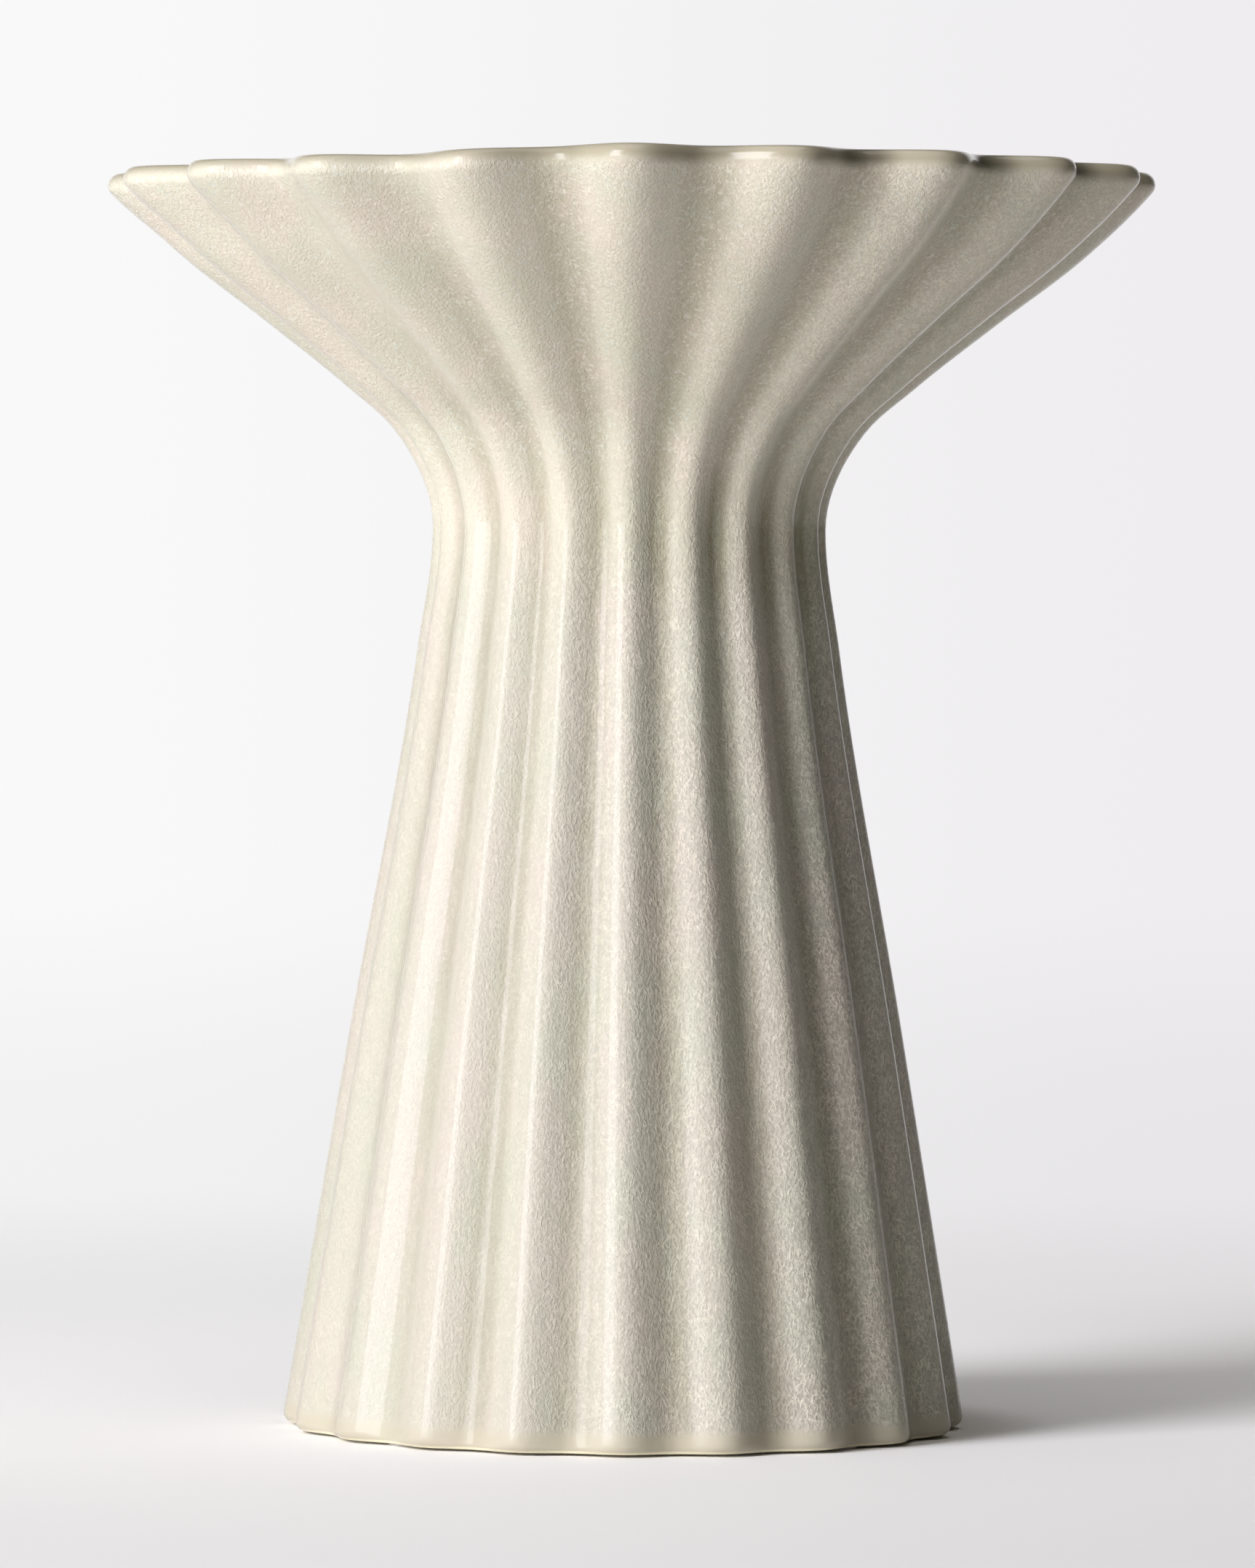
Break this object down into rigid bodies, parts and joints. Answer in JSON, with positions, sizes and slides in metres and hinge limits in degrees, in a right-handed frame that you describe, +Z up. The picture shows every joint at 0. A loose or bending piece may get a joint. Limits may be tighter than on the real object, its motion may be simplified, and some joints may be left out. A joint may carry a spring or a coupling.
{
  "type": "fluted flower vase",
  "caption": "Tall fluted ceramic flower vase whose narrow neck flares into a wide fan-shaped mouth, standing on small clear bumper pads.",
  "frame": {"origin": "on the tabletop, on the vase's axis", "axes": "+Z up along the vase's axis; +X to the right and -Y towards the viewer of the picture"},
  "size_m": [0.2536, 0.2536, 0.305],
  "materials": {
    "glaze": "satin reactive glaze in warm grey-beige with fine mossy flecks",
    "pad": "translucent soft polymer"
  },
  "bodies": {
    "root": {"vase_body": "glaze", "foot_pad_front_left": "pad", "foot_pad_front_right": "pad", "foot_pad_back_left": "pad", "foot_pad_back_right": "pad"}
  },
  "joints": []
}
